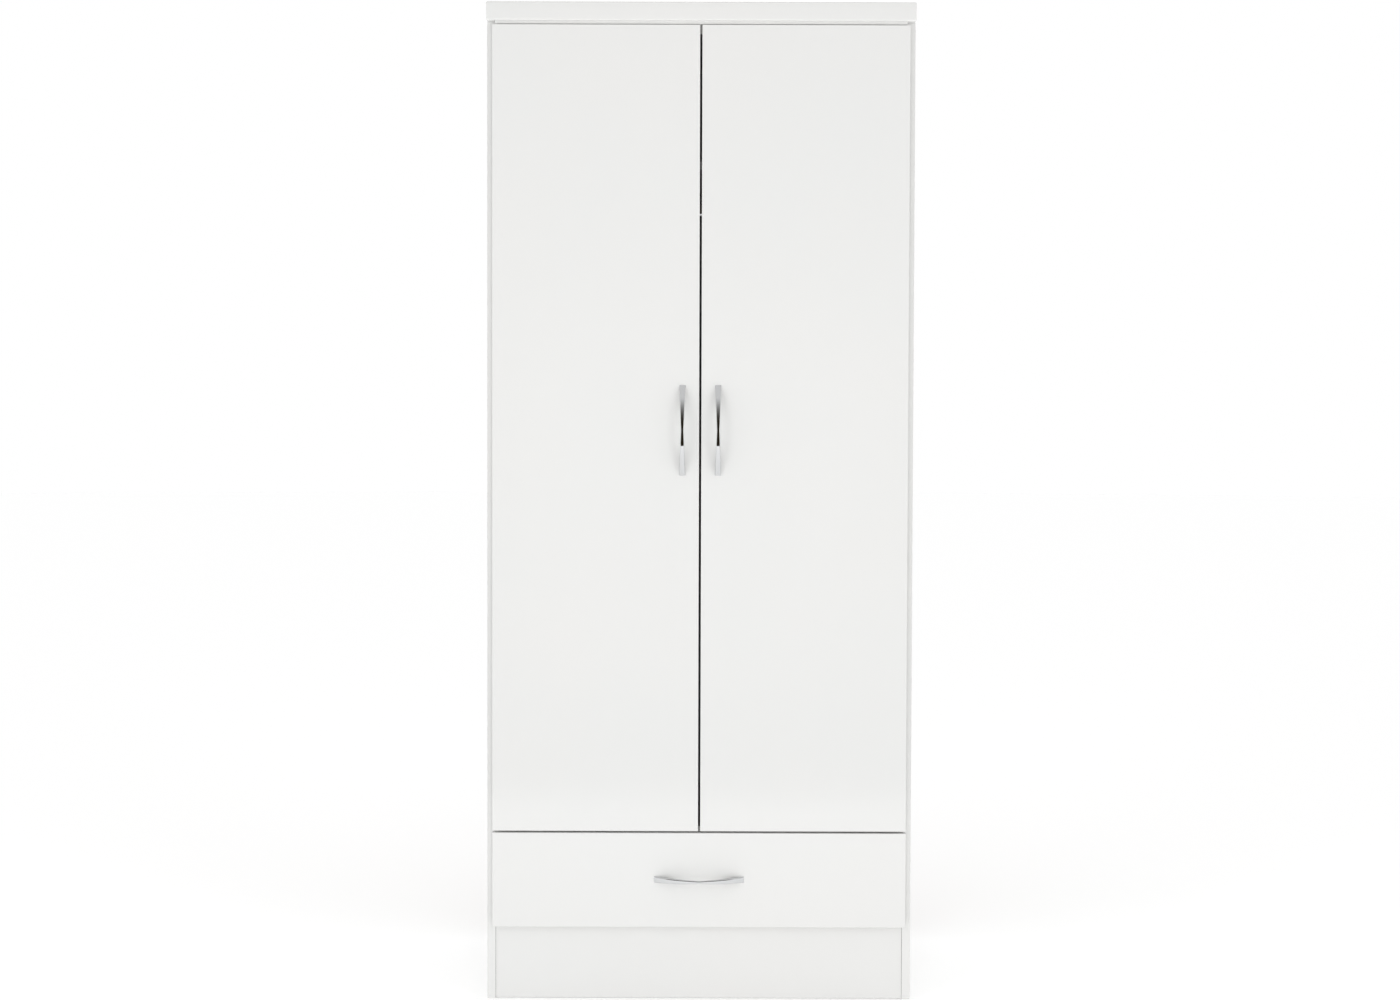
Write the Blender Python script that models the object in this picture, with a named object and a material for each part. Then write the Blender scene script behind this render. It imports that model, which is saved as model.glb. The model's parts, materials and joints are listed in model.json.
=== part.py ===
"""A two-door wardrobe with one drawer: white boards, concealed cup hinges, chrome bow handles.

Metres, +Z up. The front faces -Y, +X is to the right seen from the front, and the origin is on the
floor at the middle of the overall width and depth, handles included.
"""

import math

import bmesh
import bpy
from mathutils import Matrix, Vector

# Overall sizes
WIDTH = 0.765
HEIGHT = 1.790
CARCASS_DEPTH = 0.468  # side panel's front edge to the rear of the back strip

# Boards
BOARD = 0.015  # sides, shelves, plinth, doors and drawer front
TOP_THICKNESS = 0.033
TOP_OVERHANG = 0.020  # in front of the side panels
LIP_SETBACK = 0.004  # top panel's locating lip, behind the door faces
SHEET = 0.003  # hardboard of the back and the drawer's base
DRAWER_BOARD = 0.012

# Clearances
GAP = 0.0003  # between faces that touch
FRONT_GAP = 0.003  # behind the doors and the drawer front
DOOR_TOP_GAP = 0.0073  # to the underside of the top panel
LIP_GAP = 0.0018  # door's top to the locating lip
DOOR_MIDDLE_GAP = 0.004
DOOR_DRAWER_GAP = 0.0036
OVERLAY = 0.0045  # doors and drawer front over the side panels' edges
SHELF_PLAY = 0.0005  # at each end of the loose shelf
SHELF_SETBACK = 0.020
SHEET_INSET = 0.001  # back sheets' outer edges inside the sides' outer faces

# Heights
PLINTH_HIDDEN = 0.0038  # behind the drawer front's lower edge
PLINTH_LIFT = 0.0015
PLINTH_RECESS = 0.002
DRAWER_FRONT_LOW = 0.1347
DRAWER_FRONT_HEIGHT = 0.1703
SHELF_DROP = 0.245  # underside of the top panel to the shelf's upper face

# Back
STRIP_WALL = 0.001
STRIP_FLANGE = 0.020

# Hanging rail, an oval tube
RAIL_HEIGHT = 0.030
RAIL_THICKNESS = 0.015
RAIL_WALL = 0.0012
RAIL_DROP = 0.050  # shelf's underside to the rail's centre
SOCKET_WALL = 0.003
SOCKET_BASE = 0.003
SOCKET_DEPTH = 0.014

# Shelf supports
PEG_RADIUS = 0.0025
PEG_HOLE_DEPTH = 0.009
REST_RADIUS = 0.004
REST_LENGTH = 0.009
PEG_INSET = 0.060  # from the shelf's front and rear edges

# Hinges: across runs from the door's hinge edge to its middle, out runs from its back face to the front
HINGE_END = 0.100  # door's end to the nearest hinge
HINGES_PER_DOOR = 3
PIVOT_ACROSS = 0.0072
PIVOT_OUT = 0.0075
PIN_RADIUS = 0.001
PIN_PLAY = 0.0003
KNUCKLE_RADIUS = 0.0019
NECK_PLAY = 0.0006  # between the arm and the path of the door's corner
CUP_RADIUS = 0.0175
CUP_DEPTH = 0.0115
CUP_WALL = 0.0008
CUP_EDGE = 0.003  # wood left between the cup and the door's edge
FLANGE_SIZE = (0.020, 0.0012, 0.052)
ARM_STRIP = 0.0022
ARM_WIDTH = 0.010
ARM_BODY = 0.0047
ARM_LENGTH = 0.060
PLATE_THICKNESS = 0.003
PLATE_LENGTH = 0.040
PLATE_HEIGHT = 0.048
PLATE_SETBACK = 0.018

# Drawer box and its runners
DRAWER_REAR_SPACE = 0.048  # drawer back to the rear of the carcass
DRAWER_LIFT = 0.014  # bottom panel to the drawer's sides
DRAWER_HEADROOM = 0.0175
BASE_RISE = 0.010  # drawer side's lower edge to the base
GROOVE_DEPTH = 0.005
RUNNER_SPACE = 0.0125  # side panel to drawer side
RUNNER_WALL = 0.0012
RUNNER_SHORTER = 0.020  # than the drawer's sides
RUNNER_SETBACK = 0.004
RUNNER_LIFT = 0.008  # bottom panel to the cabinet runner
RUNNER_HEADROOM = 0.004
DRAWER_WEB_HEIGHT = 0.020
ROLLER_RADIUS = 0.007
ROLLER_PLAY = 0.0018
LIP_PLAY = 0.0015
AXLE_RADIUS = 0.002
TAB_MARGIN = 0.0024  # steel below the drawer roller's axle
FRONT_ROLLER_INSET = 0.012
REAR_ROLLER_INSET = 0.012

# Handles
HANDLE_CENTRES = 0.128
FOOT_OUTSIDE = 0.017  # screw to the foot's outer end
FOOT_INSIDE = 0.007
HANDLE_REACH = 0.028
HANDLE_THICKNESS = 0.007
HANDLE_WAIST = 0.0058
HANDLE_SWELL = 0.0052  # added towards the feet
SWELL_POWER = 1.2
HANDLE_FLARE = 0.0022  # added at the very ends
FLARE_POWER = 12
SECTION_POWER = 2 / 3  # below 1 squares the section
HANDLE_STATIONS = 24
HANDLE_SIDES = 16
DOOR_HANDLE_IN = 0.030  # door's free edge to the handle's middle
DRAWER_HANDLE_RISE = 0.001  # above the drawer front's middle

# Handle screws
SCREW_RADIUS = 0.002
SCREW_PLAY = 0.0003
SCREW_BITE = 0.006
SCREW_HEAD_RADIUS = 0.004
SCREW_HEAD_HEIGHT = 0.0022
SCREW_CROWN_RADIUS = 0.0024  # the head's flat middle
SCREW_RIM_HEIGHT = 0.0009

# Places worked out from the sizes above
DEPTH = HANDLE_REACH + GAP + BOARD + FRONT_GAP + CARCASS_DEPTH
REAR = DEPTH / 2
FRONT = REAR - CARCASS_DEPTH  # side panels' front edges
FACE_BACK = FRONT - FRONT_GAP  # back of the doors and the drawer front
FACE = FACE_BACK - BOARD  # front of the doors and the drawer front
SHEET_REAR = REAR - STRIP_WALL - GAP
SHEET_FRONT = SHEET_REAR - SHEET
SIDE_REAR = SHEET_FRONT - GAP
SHELF_REAR = SHEET_FRONT - STRIP_WALL - 2 * GAP
INNER = WIDTH / 2 - BOARD  # side panels' inner faces
SIDE_TOP = HEIGHT - TOP_THICKNESS - GAP
PLINTH_TOP = DRAWER_FRONT_LOW + PLINTH_HIDDEN
BOTTOM_LOW = PLINTH_TOP + GAP
BOTTOM_TOP = BOTTOM_LOW + BOARD
DRAWER_FRONT_TOP = DRAWER_FRONT_LOW + DRAWER_FRONT_HEIGHT
DOOR_LOW = DRAWER_FRONT_TOP + DOOR_DRAWER_GAP
DOOR_TOP = HEIGHT - TOP_THICKNESS - DOOR_TOP_GAP
LIP_LOW = DOOR_TOP + LIP_GAP
DIVIDER_LOW = DRAWER_FRONT_TOP + DOOR_DRAWER_GAP / 2 - BOARD / 2
DIVIDER_TOP = DIVIDER_LOW + BOARD
SHELF_TOP = HEIGHT - TOP_THICKNESS - SHELF_DROP
SHELF_LOW = SHELF_TOP - BOARD
FACE_EDGE = INNER + OVERLAY  # outer edges of the doors and the drawer front
RAIL_Z = SHELF_LOW - RAIL_DROP
RAIL_Y = (FRONT + SHELF_REAR) / 2
DRAWER_OUTER = INNER - RUNNER_SPACE
DRAWER_INNER = DRAWER_OUTER - DRAWER_BOARD
DRAWER_LOW = BOTTOM_TOP + DRAWER_LIFT
DRAWER_SIDE_TOP = DIVIDER_LOW - DRAWER_HEADROOM
DRAWER_BOX_FRONT = FACE_BACK + GAP
DRAWER_BOX_REAR = REAR - DRAWER_REAR_SPACE
BASE_LOW = DRAWER_LOW + BASE_RISE
BASE_TOP = BASE_LOW + SHEET
CHANNEL_LOW = BOTTOM_TOP + RUNNER_LIFT
ROLLER_Z = CHANNEL_LOW + RUNNER_WALL + GAP + ROLLER_RADIUS
TONGUE_LOW = ROLLER_Z + ROLLER_RADIUS + GAP
CHANNEL_TOP = TONGUE_LOW + RUNNER_WALL + RUNNER_HEADROOM + RUNNER_WALL
RUNNER_FRONT = FRONT + RUNNER_SETBACK
RUNNER_REAR = DRAWER_BOX_REAR - RUNNER_SHORTER + RUNNER_SETBACK
FRONT_ROLLER_Y = RUNNER_FRONT + FRONT_ROLLER_INSET
REAR_ROLLER_Y = RUNNER_REAR - REAR_ROLLER_INSET
ROLLER_WIDTH = RUNNER_SPACE - 2 * (GAP + RUNNER_WALL) - GAP - ROLLER_PLAY
HANDLE_LENGTH = HANDLE_CENTRES + 2 * FOOT_OUTSIDE
ARCH_LENGTH = HANDLE_CENTRES - 2 * FOOT_INSIDE
SIDES = {"left": -1, "right": 1}


# Making objects


def clear_scene():
    for thing in list(bpy.data.objects):
        bpy.data.objects.remove(thing, do_unlink=True)


def material(name, colour, roughness, metallic=0.0):
    made = bpy.data.materials.new(name)
    made.use_nodes = True
    shader = made.node_tree.nodes["Principled BSDF"]
    shader.inputs["Base Color"].default_value = (*colour, 1.0)
    shader.inputs["Roughness"].default_value = roughness
    shader.inputs["Metallic"].default_value = metallic
    made.diffuse_color = (*colour, 1.0)
    return made


def link(name, mesh, skin, centre, parent=None, turn=(0.0, 0.0, 0.0), smooth=False):
    """An object at a world place, under the parent's empty where it has one."""
    mesh.materials.clear()
    mesh.materials.append(skin)
    if smooth:
        mesh.shade_smooth()
        mesh.set_sharp_from_angle(angle=math.radians(40))
    thing = bpy.data.objects.new(name, mesh)
    bpy.context.scene.collection.objects.link(thing)
    offset = parent.location if parent else Vector()
    thing.parent = parent
    thing.location = Vector(centre) - offset
    thing.rotation_euler = turn
    return thing


def axis_empty(name, place):
    """The frame of one moving body, on its joint's axis."""
    empty = bpy.data.objects.new(name, None)
    bpy.context.scene.collection.objects.link(empty)
    empty.location = place
    empty.empty_display_size = 0.05
    return empty


def finish_mesh(name, shape):
    bmesh.ops.recalc_face_normals(shape, faces=shape.faces)
    mesh = bpy.data.meshes.new(name)
    shape.to_mesh(mesh)
    shape.free()
    return mesh


def box_mesh(name, size):
    shape = bmesh.new()
    bmesh.ops.create_cube(shape, size=1.0)
    bmesh.ops.scale(shape, vec=size, verts=shape.verts)
    return finish_mesh(name, shape)


def board(name, low, high, skin, parent=None):
    """A plain box between two opposite world corners."""
    low, high = Vector(low), Vector(high)
    return link(name, box_mesh(name, high - low), skin, (low + high) / 2, parent)


def cylinder_mesh(name, radius, length, axis, sides=32):
    """A cylinder about its own origin, along X, Y or Z."""
    turns = {
        "X": Matrix.Rotation(math.pi / 2, 4, "Y"),
        "Y": Matrix.Rotation(math.pi / 2, 4, "X"),
        "Z": Matrix.Identity(4),
    }
    shape = bmesh.new()
    bmesh.ops.create_cone(
        shape, cap_ends=True, segments=sides, radius1=radius, radius2=radius, depth=length, matrix=turns[axis]
    )
    return finish_mesh(name, shape)


def prism_mesh(name, outline, low, high, axis):
    """A closed outline pushed along X, Y or Z. Its points are the two other axes in X, Y, Z order."""
    shape = bmesh.new()

    def corner(point, along):
        values = list(point)
        values.insert("XYZ".index(axis), along)
        return shape.verts.new(values)

    first = [corner(point, low) for point in outline]
    last = [corner(point, high) for point in outline]
    shape.faces.new(first)
    shape.faces.new(last)
    for index in range(len(outline)):
        after = (index + 1) % len(outline)
        shape.faces.new((first[index], first[after], last[after], last[index]))
    return finish_mesh(name, shape)


def turned_mesh(name, profile, axis, sides=24):
    """A profile of (radius, along) points turned about X or Y. It starts and ends on the axis."""
    shape = bmesh.new()
    ends = [shape.verts.new((0.0, 0.0, profile[end][1])) for end in (0, -1)]
    rings = []
    for radius, along in profile[1:-1]:
        angles = [2 * math.pi * side / sides for side in range(sides)]
        rings.append([shape.verts.new((radius * math.cos(a), radius * math.sin(a), along)) for a in angles])
    for side in range(sides):
        after = (side + 1) % sides
        shape.faces.new((ends[0], rings[0][after], rings[0][side]))
        shape.faces.new((ends[1], rings[-1][side], rings[-1][after]))
        for ring, following in zip(rings, rings[1:]):
            shape.faces.new((ring[side], ring[after], following[after], following[side]))
    turn = {"X": Matrix.Rotation(math.pi / 2, 4, "Y"), "Y": Matrix.Rotation(math.pi / 2, 4, "X")}[axis]
    bmesh.ops.transform(shape, matrix=turn, verts=shape.verts)
    return finish_mesh(name, shape)


def combined(name, start, steps):
    """One mesh from a start and (operation, mesh, place) steps, each an exact Boolean."""
    whole = bpy.data.objects.new(name, start)
    helpers = []
    bpy.context.scene.collection.objects.link(whole)
    for operation, mesh, place in steps:
        helper = bpy.data.objects.new(name + "_step", mesh)
        bpy.context.scene.collection.objects.link(helper)
        helper.location = place
        helpers.append(helper)
        add_boolean(whole, helper, operation)
    bpy.context.view_layer.update()
    mesh = bpy.data.meshes.new_from_object(whole.evaluated_get(bpy.context.evaluated_depsgraph_get()))
    for thing in [whole, *helpers]:
        bpy.data.objects.remove(thing, do_unlink=True)
    return mesh


def add_boolean(thing, helper, operation):
    step = thing.modifiers.new(helper.name, "BOOLEAN")
    step.operation = operation
    step.solver = "EXACT"
    step.object = helper


def cut(thing, mesh, centre):
    """Cuts a shape at a world place out of an object and hides the cutter."""
    cutter = bpy.data.objects.new(thing.name + "_cutter", mesh)
    bpy.context.scene.collection.objects.link(cutter)
    cutter.parent = thing.parent
    cutter.location = Vector(centre) - (thing.parent.location if thing.parent else Vector())
    cutter.hide_render = True
    cutter.display_type = "WIRE"
    add_boolean(thing, cutter, "DIFFERENCE")


# The carcass


def shelf_peg_places():
    front, rear = FRONT + SHELF_SETBACK + PEG_INSET, SHELF_REAR - PEG_INSET
    return {"front": front, "rear": rear}


def build_sides(skins):
    for side, sign in SIDES.items():
        inner, outer = sorted((sign * INNER, sign * WIDTH / 2))
        panel = board(f"{side}_side_panel", (inner, FRONT, 0.0), (outer, SIDE_REAR, SIDE_TOP), skins["white"])
        for place in shelf_peg_places().values():
            radius = PEG_RADIUS + GAP
            hole = cylinder_mesh("peg_hole", radius, 2 * PEG_HOLE_DEPTH, "X", 16)
            cut(panel, hole, (sign * INNER, place, SHELF_LOW - GAP - REST_RADIUS))


def build_boards(skins):
    white = skins["white"]
    end = INNER - GAP
    shelf_end = INNER - SHELF_PLAY
    build_top(white)
    inner_top = LIP_LOW - GAP
    board("inner_top_panel", (-end, FRONT, inner_top - BOARD), (end, SHELF_REAR, inner_top), white)
    board("divider_panel", (-end, FRONT, DIVIDER_LOW), (end, SHELF_REAR, DIVIDER_TOP), white)
    board("bottom_panel", (-end, FRONT, BOTTOM_LOW), (end, SHELF_REAR, BOTTOM_TOP), white)
    shelf_front = FRONT + SHELF_SETBACK
    board("hat_shelf", (-shelf_end, shelf_front, SHELF_LOW), (shelf_end, SHELF_REAR, SHELF_TOP), white)
    plinth_front = FRONT + PLINTH_RECESS
    board("plinth", (-end, plinth_front, PLINTH_LIFT), (end, plinth_front + BOARD, PLINTH_TOP), white)


def build_top(skin):
    """A thick slab over the side panels, with a lip below it that drops between them."""
    underside = HEIGHT - TOP_THICKNESS
    slab_front, lip_front = FRONT - TOP_OVERHANG, FACE + LIP_SETBACK
    slab = box_mesh("slab", (WIDTH, REAR - slab_front, TOP_THICKNESS))
    slab.transform(Matrix.Translation((0, (slab_front + REAR) / 2, underside + TOP_THICKNESS / 2)))
    lip_top = underside + TOP_THICKNESS / 2
    lip = box_mesh("lip", (2 * (INNER - GAP), SHELF_REAR - lip_front, lip_top - LIP_LOW))
    place = (0, (lip_front + SHELF_REAR) / 2, (LIP_LOW + lip_top) / 2)
    link("top_panel", combined("top_panel", slab, [("UNION", lip, place)]), skin, (0, 0, 0))


def build_back(skins):
    """Two hardboard sheets held by an H strip down the middle."""
    low = BOTTOM_LOW
    high = SIDE_TOP
    middle = STRIP_WALL / 2 + GAP
    for side, sign in SIDES.items():
        inner, outer = sorted((sign * middle, sign * (WIDTH / 2 - SHEET_INSET)))
        board(f"back_panel_{side}", (inner, SHEET_FRONT, low), (outer, SHEET_REAR, high), skins["hardboard"])
    web, wide = STRIP_WALL / 2, STRIP_FLANGE / 2
    front, rear = SHEET_FRONT - GAP, SHEET_REAR + GAP
    right = [
        (wide, REAR),
        (wide, rear),
        (web, rear),
        (web, front),
        (wide, front),
        (wide, front - STRIP_WALL),
    ]
    outline = right + [(-x, y) for x, y in reversed(right)]
    mesh = prism_mesh("back_joining_strip", outline, low, high, "Z")
    link("back_joining_strip", mesh, skins["plastic"], (0, 0, 0))


def oval(height, thickness, quarter=6):
    """An upright oval: straight sides with half-round ends, as (y, z) points."""
    radius = thickness / 2
    straight = (height - thickness) / 2
    points = []
    for end in (1, -1):
        for step in range(2 * quarter + 1):
            angle = math.pi * step / (2 * quarter) + (0 if end > 0 else math.pi)
            points.append((radius * math.cos(angle), end * straight + radius * math.sin(angle)))
    return points


def build_rail(skins):
    """An oval tube whose ends sit in two cups screwed to the side panels."""
    tube_end = INNER - GAP - SOCKET_BASE - GAP
    outer = prism_mesh("rail", oval(RAIL_HEIGHT, RAIL_THICKNESS), -tube_end, tube_end, "X")
    bore_size = (RAIL_HEIGHT - 2 * RAIL_WALL, RAIL_THICKNESS - 2 * RAIL_WALL)
    bore = prism_mesh("rail_bore", oval(*bore_size), -tube_end - BOARD, tube_end + BOARD, "X")
    tube = combined("hanging_rail", outer, [("DIFFERENCE", bore, (0, 0, 0))])
    link("hanging_rail", tube, skins["chrome"], (0, RAIL_Y, RAIL_Z), smooth=True)
    cup_height, cup_thickness = RAIL_HEIGHT + 2 * SOCKET_WALL, RAIL_THICKNESS + 2 * SOCKET_WALL
    for side, sign in SIDES.items():
        wall = sign * (INNER - GAP)
        mouth = wall - sign * SOCKET_DEPTH
        floor = wall - sign * SOCKET_BASE
        cup = prism_mesh("cup", oval(cup_height, cup_thickness), *sorted((wall, mouth)), "X")
        pocket_size = (RAIL_HEIGHT + 2 * GAP, RAIL_THICKNESS + 2 * GAP)
        pocket = prism_mesh("pocket", oval(*pocket_size), *sorted((floor, mouth - sign * SOCKET_DEPTH)), "X")
        socket = combined(f"rail_socket_{side}", cup, [("DIFFERENCE", pocket, (0, 0, 0))])
        link(f"rail_socket_{side}", socket, skins["chrome"], (0, RAIL_Y, RAIL_Z), smooth=True)


def build_shelf_supports(skins):
    """Four pegs in blind holes, with the shelf lying on their thick ends."""
    peg = PEG_HOLE_DEPTH - GAP
    profile = [(0, -peg), (PEG_RADIUS, -peg), (PEG_RADIUS, GAP), (REST_RADIUS, GAP)]
    profile += [(REST_RADIUS, REST_LENGTH), (0, REST_LENGTH)]
    for side, sign in SIDES.items():
        for name, place in shelf_peg_places().items():
            mesh = turned_mesh("shelf_support", profile, "X", 16)
            turn = (0, 0, math.pi) if sign > 0 else (0, 0, 0)
            centre = (sign * INNER, place, SHELF_LOW - GAP - REST_RADIUS)
            link(f"shelf_support_{side}_{name}", mesh, skins["steel"], centre, turn=turn, smooth=True)


# The hinges


def hinge_heights():
    low, high = DOOR_LOW + HINGE_END, DOOR_TOP - HINGE_END
    step = (high - low) / (HINGES_PER_DOOR - 1)
    return [low + step * index for index in range(HINGES_PER_DOOR)]


def hinge_axis(sign):
    """Where a door's upright pivot line stands, in X and Y."""
    return sign * (FACE_EDGE - PIVOT_ACROSS), FACE_BACK - PIVOT_OUT


def cup_mesh():
    """Round cup, fixing flange and pivot pin about the pivot. Across is +X and out is -Y."""
    middle = CUP_EDGE + CUP_RADIUS - PIVOT_ACROSS
    bore_radius = CUP_RADIUS - CUP_WALL
    flange = box_mesh("flange", FLANGE_SIZE)
    flange_y = PIVOT_OUT + FLANGE_SIZE[1] / 2 + GAP
    cup_length = CUP_DEPTH + GAP + FLANGE_SIZE[1]
    shell = cylinder_mesh("cup", CUP_RADIUS, cup_length, "Y")
    shell_y = PIVOT_OUT + GAP + FLANGE_SIZE[1] - cup_length / 2
    bore = cylinder_mesh("cup_bore", bore_radius, cup_length, "Y")
    pin_reach = math.sqrt(bore_radius**2 - middle**2) + CUP_WALL / 2
    pin = cylinder_mesh("pin", PIN_RADIUS, 2 * pin_reach, "Z", 12)
    steps = [
        ("UNION", flange, (middle, flange_y, 0)),
        ("DIFFERENCE", bore, (middle, shell_y + CUP_WALL, 0)),
        ("UNION", pin, (0, 0, 0)),
    ]
    place = Matrix.Translation((middle, shell_y, 0))
    shell.transform(place)
    return combined("hinge_cup", shell, steps)


def arm_mesh():
    """Goose neck from the pivot out of the cup and back along the side panel, about the pivot."""
    half = ARM_STRIP / 2
    neck_in = math.hypot(PIVOT_ACROSS, PIVOT_OUT) + NECK_PLAY
    neck_out = neck_in + ARM_STRIP
    body = OVERLAY + GAP + PLATE_THICKNESS + GAP - PIVOT_ACROSS
    rear = PIVOT_OUT + FRONT_GAP + ARM_LENGTH
    outline = [
        (0, -half),
        (neck_out, -half),
        (neck_out, neck_out),
        (body + ARM_BODY, neck_out),
        (body + ARM_BODY, rear),
        (body, rear),
        (body, neck_in),
        (neck_in, neck_in),
        (neck_in, half),
        (0, half),
    ]
    neck = prism_mesh("neck", outline, -ARM_WIDTH / 2, ARM_WIDTH / 2, "Z")
    knuckle = cylinder_mesh("knuckle", KNUCKLE_RADIUS, ARM_WIDTH, "Z", 20)
    hole = cylinder_mesh("pin_hole", PIN_RADIUS + PIN_PLAY, 2 * ARM_WIDTH, "Z", 16)
    steps = [("UNION", knuckle, (0, 0, 0)), ("DIFFERENCE", hole, (0, 0, 0))]
    return combined("hinge_arm", neck, steps)


def build_hinges(skins, doors):
    arm, cup = arm_mesh(), cup_mesh()
    plate = box_mesh("hinge_plate", (PLATE_THICKNESS, PLATE_LENGTH, PLATE_HEIGHT))
    for side, sign in SIDES.items():
        x, y = hinge_axis(sign)
        turn = (0, 0, 0) if sign < 0 else (0, math.pi, 0)
        for number, height in enumerate(hinge_heights(), start=1):
            place = (x, y, height)
            plate_x = sign * (INNER - GAP - PLATE_THICKNESS / 2)
            plate_y = FRONT + PLATE_SETBACK + PLATE_LENGTH / 2
            link(f"hinge_plate_{side}_{number}", plate, skins["steel"], (plate_x, plate_y, height))
            link(f"hinge_arm_{side}_{number}", arm, skins["steel"], place, turn=turn)
            link(f"hinge_cup_{side}_{number}", cup, skins["steel"], place, doors[side], turn, smooth=True)


# The handles and their screws


def handle_mesh():
    """A bow along Z standing off the face toward -Y, wide at its feet and slim in the middle."""

    def arc(length, reach, share):
        half = length / 2
        radius = (half**2 + reach**2) / (2 * reach)
        angle = math.asin(half / radius) * share
        return Vector((radius * math.sin(angle), reach - radius + radius * math.cos(angle)))

    shape = bmesh.new()
    rings = []
    for station in range(HANDLE_STATIONS + 1):
        share = 2 * station / HANDLE_STATIONS - 1
        outer = arc(HANDLE_LENGTH, HANDLE_REACH, share)
        inner = arc(ARCH_LENGTH, HANDLE_REACH - HANDLE_THICKNESS, share)
        swelling = HANDLE_SWELL * abs(share) ** SWELL_POWER
        width = HANDLE_WAIST + swelling + HANDLE_FLARE * abs(share) ** FLARE_POWER
        ring = []
        for side in range(HANDLE_SIDES):
            angle = 2 * math.pi * (side + 0.5) / HANDLE_SIDES
            turns = (math.cos(angle), math.sin(angle))
            across, through = [math.copysign(abs(v) ** SECTION_POWER, v) for v in turns]
            along, out = (outer + inner) / 2 + (outer - inner) / 2 * through
            ring.append(shape.verts.new((width / 2 * across, -out, along)))
        rings.append(ring)
    for ring, following in zip(rings, rings[1:]):
        for side in range(HANDLE_SIDES):
            after = (side + 1) % HANDLE_SIDES
            shape.faces.new((ring[side], ring[after], following[after], following[side]))
    shape.faces.new(rings[0])
    shape.faces.new(rings[-1])
    bow = finish_mesh("handle", shape)
    hole = cylinder_mesh("thread", SCREW_RADIUS + SCREW_PLAY, 2 * (SCREW_BITE + SCREW_PLAY), "Y", 12)
    steps = [("DIFFERENCE", hole, (0, 0, end * HANDLE_CENTRES / 2)) for end in (1, -1)]
    return combined("handle", bow, steps)


def screw_mesh():
    """A pan-head screw along Y whose head bears on the plane y = 0 and whose tip points to -Y."""
    length = GAP + BOARD + GAP + SCREW_BITE
    crown = SCREW_HEAD_HEIGHT
    profile = [(0, crown), (SCREW_CROWN_RADIUS, crown), (SCREW_HEAD_RADIUS, SCREW_RIM_HEIGHT)]
    profile += [(SCREW_HEAD_RADIUS, 0), (SCREW_RADIUS, 0), (SCREW_RADIUS, -length), (0, -length)]
    return turned_mesh("handle_screw", [(r, -along) for r, along in profile], "Y", 16)


def fit_handle(name, front, middle, upright, parent, skins):
    """A handle on a front, with two screws through it from behind."""
    x, z = middle
    turn = (0, 0, 0) if upright else (0, math.pi / 2, 0)
    link(name, handle_mesh(), skins["chrome"], (x, FACE - GAP, z), parent, turn, smooth=True)
    ends = {"lower": -1, "upper": 1} if upright else {"left": -1, "right": 1}
    for end, sign in ends.items():
        reach = sign * HANDLE_CENTRES / 2
        place = (x, z + reach) if upright else (x + reach, z)
        hole = cylinder_mesh("screw_hole", SCREW_RADIUS + SCREW_PLAY, 2 * BOARD, "Y", 16)
        cut(front, hole, (place[0], (FACE + FACE_BACK) / 2, place[1]))
        screw = screw_mesh()
        centre = (place[0], FACE_BACK + GAP, place[1])
        link(f"{name}_screw_{end}", screw, skins["steel"], centre, parent, smooth=True)


# The doors


def build_door(side, skins):
    sign = SIDES[side]
    x, y = hinge_axis(sign)
    empty = axis_empty(f"{side}_door_axis", (x, y, (DOOR_LOW + DOOR_TOP) / 2))
    inner, outer = sorted((sign * DOOR_MIDDLE_GAP / 2, sign * FACE_EDGE))
    panel = board(
        f"{side}_door_panel", (inner, FACE, DOOR_LOW), (outer, FACE_BACK, DOOR_TOP), skins["white"], empty
    )
    bore_x = sign * (FACE_EDGE - CUP_EDGE - CUP_RADIUS)
    for height in hinge_heights():
        bore = cylinder_mesh("cup_hole", CUP_RADIUS + GAP, 2 * (CUP_DEPTH + GAP), "Y", 32)
        cut(panel, bore, (bore_x, FACE_BACK, height))
    handle_x = sign * (DOOR_MIDDLE_GAP / 2 + DOOR_HANDLE_IN)
    handle_z = (DOOR_LOW + DOOR_TOP) / 2
    fit_handle(f"{side}_door_handle", panel, (handle_x, handle_z), True, empty, skins)
    return empty


# The drawer


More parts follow.
